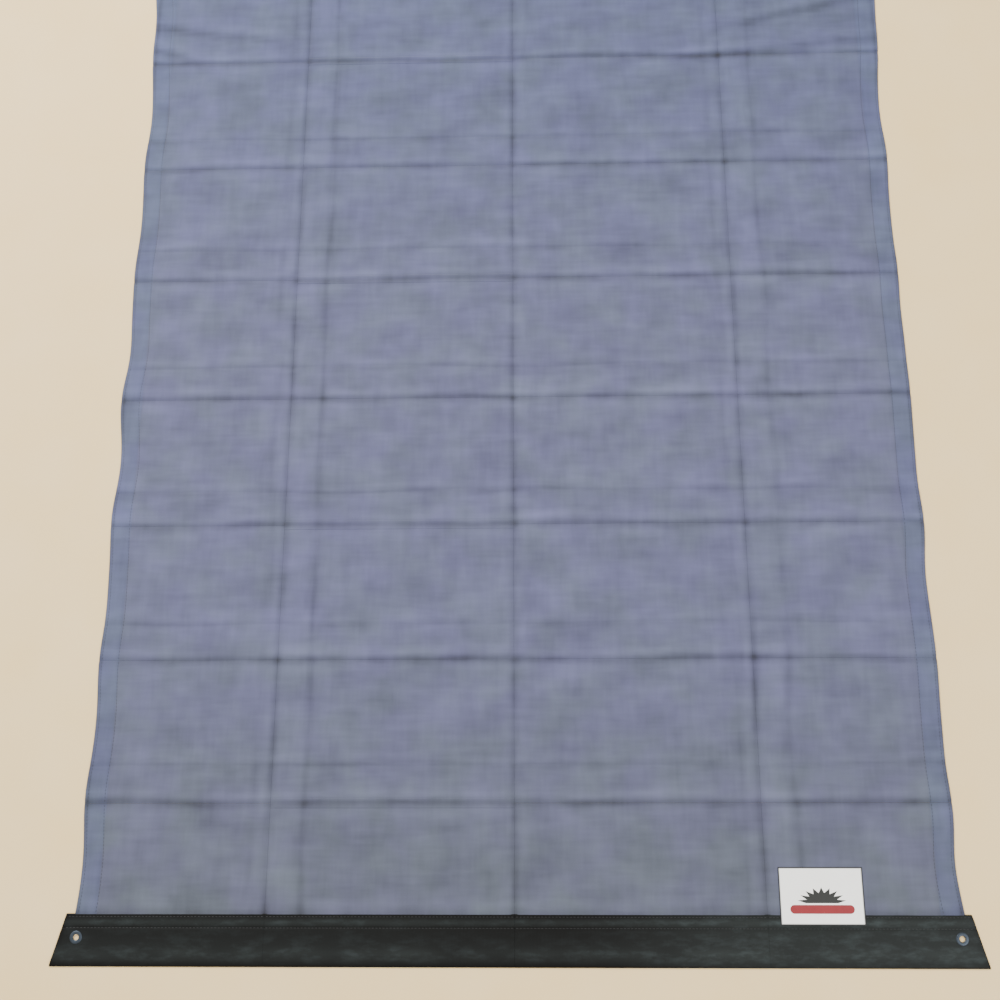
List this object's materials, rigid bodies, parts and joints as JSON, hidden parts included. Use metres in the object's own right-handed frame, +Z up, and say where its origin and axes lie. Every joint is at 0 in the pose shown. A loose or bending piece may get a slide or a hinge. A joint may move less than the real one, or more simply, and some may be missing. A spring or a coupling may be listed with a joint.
{
  "type": "folding solar blanket",
  "caption": "Flat folding solar blanket of thin panels on a textile carrier, with fold creases, dark end bands, a sewn label, corner eyelets and a junction box.",
  "frame": {"origin": "middle of the underside of the whole spread blanket's box", "axes": "+Y from the near end, with the label, to the far end, with the junction box; +X to the right; +Z up, off the face of the panels"},
  "size_m": [1.112, 1.503, 0.0165],
  "materials": {
    "panel_laminate": "matt woven",
    "band_webbing": "coated twill",
    "eyelet_metal": "satin",
    "label_satin": "satin",
    "copper_ribbon": "tinned",
    "box_plastic": "moulded",
    "seal_rubber": "matt",
    "screw_steel": "satin",
    "board_plastic": "solder mask",
    "diode_epoxy": "moulded epoxy",
    "terminal_brass": "plated",
    "socket_plastic": "moulded"
  },
  "bodies": {
    "leaf_1a": {"panel_1a": "panel_laminate", "near_band_a": "band_webbing", "near_eyelet_left": "eyelet_metal"},
    "leaf_1b": {"panel_1b": "panel_laminate", "near_band_b": "band_webbing"},
    "leaf_1c": {"panel_1c": "panel_laminate", "near_band_c": "band_webbing"},
    "leaf_1d": {"panel_1d": "panel_laminate", "near_band_d": "band_webbing", "near_eyelet_right": "eyelet_metal", "sewn_label": "label_satin"},
    "leaf_2a": {"panel_2a": "panel_laminate"},
    "leaf_2b": {"panel_2b": "panel_laminate"},
    "leaf_2c": {"panel_2c": "panel_laminate"},
    "leaf_2d": {"panel_2d": "panel_laminate"},
    "leaf_3a": {"panel_3a": "panel_laminate"},
    "leaf_3b": {"panel_3b": "panel_laminate"},
    "leaf_3c": {"panel_3c": "panel_laminate"},
    "leaf_3d": {"panel_3d": "panel_laminate"},
    "leaf_4a": {"panel_4a": "panel_laminate"},
    "leaf_4b": {"panel_4b": "panel_laminate"},
    "leaf_4c": {"panel_4c": "panel_laminate"},
    "leaf_4d": {"panel_4d": "panel_laminate"},
    "leaf_5a": {"panel_5a": "panel_laminate"},
    "leaf_5b": {"panel_5b": "panel_laminate"},
    "leaf_5c": {"panel_5c": "panel_laminate"},
    "leaf_5d": {"panel_5d": "panel_laminate"},
    "leaf_6a": {"panel_6a": "panel_laminate"},
    "leaf_6b": {"panel_6b": "panel_laminate"},
    "leaf_6c": {"panel_6c": "panel_laminate"},
    "leaf_6d": {"panel_6d": "panel_laminate"},
    "leaf_7a": {"panel_7a": "panel_laminate"},
    "leaf_7b": {"panel_7b": "panel_laminate"},
    "leaf_7c": {"panel_7c": "panel_laminate"},
    "leaf_7d": {"panel_7d": "panel_laminate"},
    "leaf_8a": {"panel_8a": "panel_laminate", "far_band_a": "band_webbing", "far_eyelet_left": "eyelet_metal"},
    "leaf_8b": {"panel_8b": "panel_laminate", "far_band_b": "band_webbing", "lead_tails": "copper_ribbon", "box_tab": "band_webbing", "box_base": "box_plastic", "box_seal": "seal_rubber", "box_lid": "box_plastic", "lid_screws": "screw_steel", "terminal_board": "board_plastic", "diodes": "diode_epoxy", "terminals": "terminal_brass", "output_socket": "socket_plastic"},
    "leaf_8c": {"panel_8c": "panel_laminate", "far_band_c": "band_webbing"},
    "leaf_8d": {"panel_8d": "panel_laminate", "far_band_d": "band_webbing", "far_eyelet_right": "eyelet_metal"}
  },
  "joints": [
    {"name": "row_fold_1", "type": "hinge", "parent": "leaf_1b", "child": "leaf_2b", "pos_m": [0, -0.5625, -0.0002], "axis": [-1, 0, 0], "range_deg": [0, 180]},
    {"name": "row_fold_2", "type": "hinge", "parent": "leaf_2b", "child": "leaf_3b", "pos_m": [0, -0.3855, 0.0094], "axis": [1, 0, 0], "range_deg": [0, 180]},
    {"name": "row_fold_3", "type": "hinge", "parent": "leaf_3b", "child": "leaf_4b", "pos_m": [0, -0.2085, -0.0002], "axis": [-1, 0, 0], "range_deg": [0, 180]},
    {"name": "row_fold_4", "type": "hinge", "parent": "leaf_4b", "child": "leaf_5b", "pos_m": [0, -0.0315, 0.0094], "axis": [1, 0, 0], "range_deg": [0, 180]},
    {"name": "row_fold_5", "type": "hinge", "parent": "leaf_5b", "child": "leaf_6b", "pos_m": [0, 0.1455, -0.0002], "axis": [-1, 0, 0], "range_deg": [0, 180]},
    {"name": "row_fold_6", "type": "hinge", "parent": "leaf_6b", "child": "leaf_7b", "pos_m": [0, 0.3225, 0.0094], "axis": [1, 0, 0], "range_deg": [0, 180]},
    {"name": "row_fold_7", "type": "hinge", "parent": "leaf_7b", "child": "leaf_8b", "pos_m": [0, 0.4995, -0.0002], "axis": [-1, 0, 0], "range_deg": [0, 180]},
    {"name": "centre_fold_1", "type": "hinge", "parent": "leaf_1b", "child": "leaf_1c", "pos_m": [0, -0.651, 0.0046], "axis": [0, -1, 0], "range_deg": [0, 180]},
    {"name": "centre_fold_2", "type": "hinge", "parent": "leaf_2b", "child": "leaf_2c", "pos_m": [0, -0.474, 0.0046], "axis": [0, -1, 0], "range_deg": [0, 180]},
    {"name": "centre_fold_3", "type": "hinge", "parent": "leaf_3b", "child": "leaf_3c", "pos_m": [0, -0.297, 0.0046], "axis": [0, -1, 0], "range_deg": [0, 180]},
    {"name": "centre_fold_4", "type": "hinge", "parent": "leaf_4b", "child": "leaf_4c", "pos_m": [0, -0.12, 0.0046], "axis": [0, -1, 0], "range_deg": [0, 180]},
    {"name": "centre_fold_5", "type": "hinge", "parent": "leaf_5b", "child": "leaf_5c", "pos_m": [0, 0.057, 0.0046], "axis": [0, -1, 0], "range_deg": [0, 180]},
    {"name": "centre_fold_6", "type": "hinge", "parent": "leaf_6b", "child": "leaf_6c", "pos_m": [0, 0.234, 0.0046], "axis": [0, -1, 0], "range_deg": [0, 180]},
    {"name": "centre_fold_7", "type": "hinge", "parent": "leaf_7b", "child": "leaf_7c", "pos_m": [0, 0.411, 0.0046], "axis": [0, -1, 0], "range_deg": [0, 180]},
    {"name": "centre_fold_8", "type": "hinge", "parent": "leaf_8b", "child": "leaf_8c", "pos_m": [0, 0.588, 0.0046], "axis": [0, -1, 0], "range_deg": [0, 180]},
    {"name": "right_flap_1", "type": "hinge", "parent": "leaf_1c", "child": "leaf_1d", "pos_m": [0.3, -0.651, 0.0022], "axis": [0, -1, 0], "range_deg": [0, 180]},
    {"name": "right_flap_2", "type": "hinge", "parent": "leaf_2c", "child": "leaf_2d", "pos_m": [0.3, -0.474, 0.0022], "axis": [0, -1, 0], "range_deg": [0, 180]},
    {"name": "right_flap_3", "type": "hinge", "parent": "leaf_3c", "child": "leaf_3d", "pos_m": [0.3, -0.297, 0.0022], "axis": [0, -1, 0], "range_deg": [0, 180]},
    {"name": "right_flap_4", "type": "hinge", "parent": "leaf_4c", "child": "leaf_4d", "pos_m": [0.3, -0.12, 0.0022], "axis": [0, -1, 0], "range_deg": [0, 180]},
    {"name": "right_flap_5", "type": "hinge", "parent": "leaf_5c", "child": "leaf_5d", "pos_m": [0.3, 0.057, 0.0022], "axis": [0, -1, 0], "range_deg": [0, 180]},
    {"name": "right_flap_6", "type": "hinge", "parent": "leaf_6c", "child": "leaf_6d", "pos_m": [0.3, 0.234, 0.0022], "axis": [0, -1, 0], "range_deg": [0, 180]},
    {"name": "right_flap_7", "type": "hinge", "parent": "leaf_7c", "child": "leaf_7d", "pos_m": [0.3, 0.411, 0.0022], "axis": [0, -1, 0], "range_deg": [0, 180]},
    {"name": "right_flap_8", "type": "hinge", "parent": "leaf_8c", "child": "leaf_8d", "pos_m": [0.3, 0.588, 0.0022], "axis": [0, -1, 0], "range_deg": [0, 180]},
    {"name": "left_flap_1", "type": "hinge", "parent": "leaf_1b", "child": "leaf_1a", "pos_m": [-0.3, -0.651, 0.0022], "axis": [0, 1, 0], "range_deg": [0, 180]},
    {"name": "left_flap_2", "type": "hinge", "parent": "leaf_2b", "child": "leaf_2a", "pos_m": [-0.3, -0.474, 0.0022], "axis": [0, 1, 0], "range_deg": [0, 180]},
    {"name": "left_flap_3", "type": "hinge", "parent": "leaf_3b", "child": "leaf_3a", "pos_m": [-0.3, -0.297, 0.0022], "axis": [0, 1, 0], "range_deg": [0, 180]},
    {"name": "left_flap_4", "type": "hinge", "parent": "leaf_4b", "child": "leaf_4a", "pos_m": [-0.3, -0.12, 0.0022], "axis": [0, 1, 0], "range_deg": [0, 180]},
    {"name": "left_flap_5", "type": "hinge", "parent": "leaf_5b", "child": "leaf_5a", "pos_m": [-0.3, 0.057, 0.0022], "axis": [0, 1, 0], "range_deg": [0, 180]},
    {"name": "left_flap_6", "type": "hinge", "parent": "leaf_6b", "child": "leaf_6a", "pos_m": [-0.3, 0.234, 0.0022], "axis": [0, 1, 0], "range_deg": [0, 180]},
    {"name": "left_flap_7", "type": "hinge", "parent": "leaf_7b", "child": "leaf_7a", "pos_m": [-0.3, 0.411, 0.0022], "axis": [0, 1, 0], "range_deg": [0, 180]},
    {"name": "left_flap_8", "type": "hinge", "parent": "leaf_8b", "child": "leaf_8a", "pos_m": [-0.3, 0.588, 0.0022], "axis": [0, 1, 0], "range_deg": [0, 180]}
  ],
  "couplings": [
    {"joint": "row_fold_2", "follows": "row_fold_1", "ratio": 1},
    {"joint": "row_fold_3", "follows": "row_fold_1", "ratio": 1},
    {"joint": "row_fold_4", "follows": "row_fold_1", "ratio": 1},
    {"joint": "row_fold_5", "follows": "row_fold_1", "ratio": 1},
    {"joint": "row_fold_6", "follows": "row_fold_1", "ratio": 1},
    {"joint": "row_fold_7", "follows": "row_fold_1", "ratio": 1},
    {"joint": "centre_fold_2", "follows": "centre_fold_1", "ratio": 1},
    {"joint": "centre_fold_3", "follows": "centre_fold_1", "ratio": 1},
    {"joint": "centre_fold_4", "follows": "centre_fold_1", "ratio": 1},
    {"joint": "centre_fold_5", "follows": "centre_fold_1", "ratio": 1},
    {"joint": "centre_fold_6", "follows": "centre_fold_1", "ratio": 1},
    {"joint": "centre_fold_7", "follows": "centre_fold_1", "ratio": 1},
    {"joint": "centre_fold_8", "follows": "centre_fold_1", "ratio": 1},
    {"joint": "right_flap_2", "follows": "right_flap_1", "ratio": 1},
    {"joint": "right_flap_3", "follows": "right_flap_1", "ratio": 1},
    {"joint": "right_flap_4", "follows": "right_flap_1", "ratio": 1},
    {"joint": "right_flap_5", "follows": "right_flap_1", "ratio": 1},
    {"joint": "right_flap_6", "follows": "right_flap_1", "ratio": 1},
    {"joint": "right_flap_7", "follows": "right_flap_1", "ratio": 1},
    {"joint": "right_flap_8", "follows": "right_flap_1", "ratio": 1},
    {"joint": "left_flap_2", "follows": "left_flap_1", "ratio": 1},
    {"joint": "left_flap_3", "follows": "left_flap_1", "ratio": 1},
    {"joint": "left_flap_4", "follows": "left_flap_1", "ratio": 1},
    {"joint": "left_flap_5", "follows": "left_flap_1", "ratio": 1},
    {"joint": "left_flap_6", "follows": "left_flap_1", "ratio": 1},
    {"joint": "left_flap_7", "follows": "left_flap_1", "ratio": 1},
    {"joint": "left_flap_8", "follows": "left_flap_1", "ratio": 1}
  ]
}
